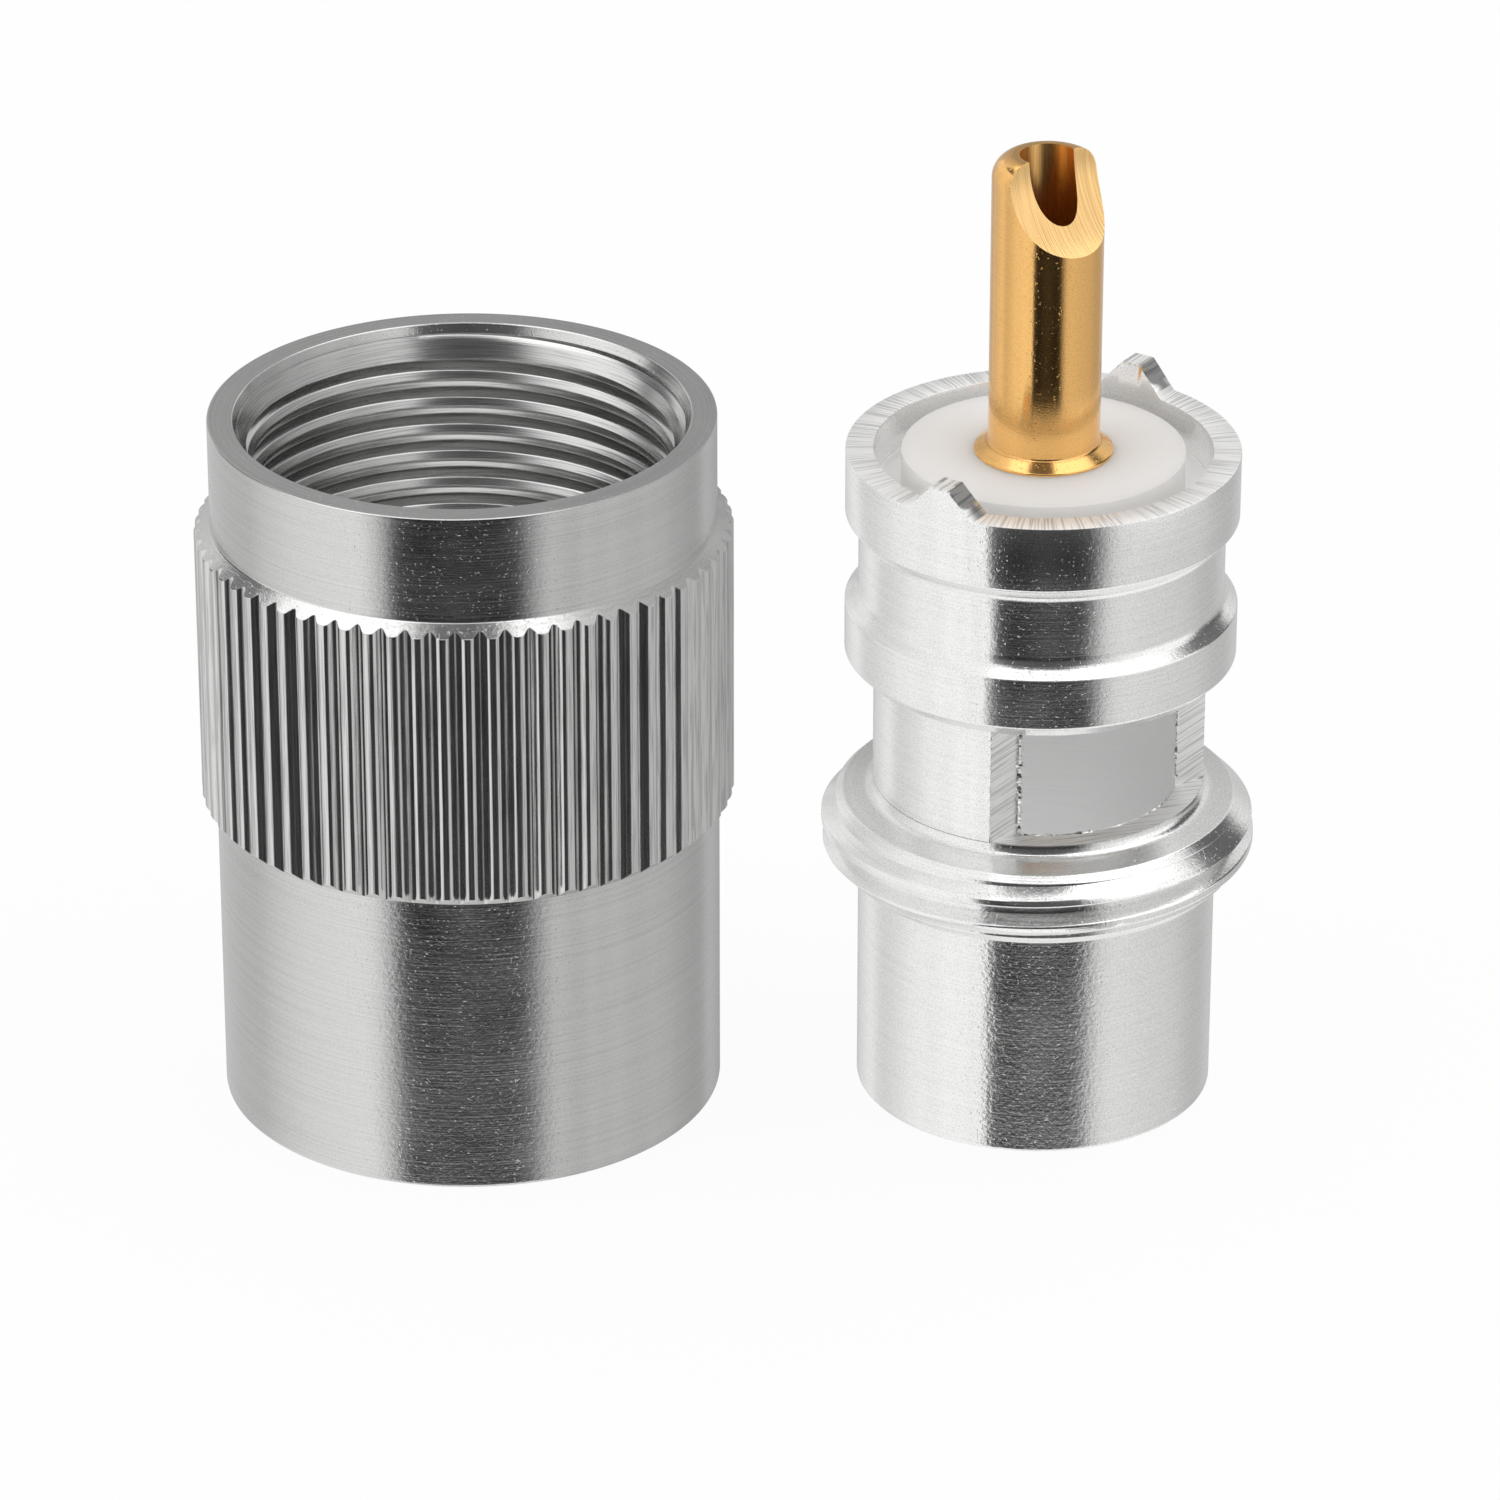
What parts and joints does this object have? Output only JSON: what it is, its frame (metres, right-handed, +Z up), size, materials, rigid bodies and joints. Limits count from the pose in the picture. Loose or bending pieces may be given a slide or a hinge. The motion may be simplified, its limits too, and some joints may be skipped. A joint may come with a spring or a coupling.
{
  "type": "uhf plug",
  "caption": "Solder-type UHF coaxial plug taken apart: knurled coupling ring beside the silver plated plug body with white insulator and gold plated centre contact.",
  "frame": {"origin": "centre of the plug body's cable entry, on the surface it stands on", "axes": "+Z up along the plug body's axis towards the contact pin, -X towards the coupling ring"},
  "size_m": [0.0379, 0.0192, 0.036],
  "materials": {
    "nickel_plate": "bright nickel plate on turned brass",
    "silver_plate": "bright silver plate on turned brass",
    "gold_plate": "gold plate on turned brass",
    "white_fluoropolymer": "matte white"
  },
  "bodies": {
    "plug": {"plug_body": "silver_plate", "insulator": "white_fluoropolymer", "contact_pin": "gold_plate"},
    "ring": {"coupling_ring": "nickel_plate"}
  },
  "joints": [
    {"name": "coupling_ring_turn", "type": "hinge", "parent": "plug", "child": "ring", "pos_m": [-0.02052, 0, 0], "axis": [0, 0, 1], "continuous": true}
  ]
}
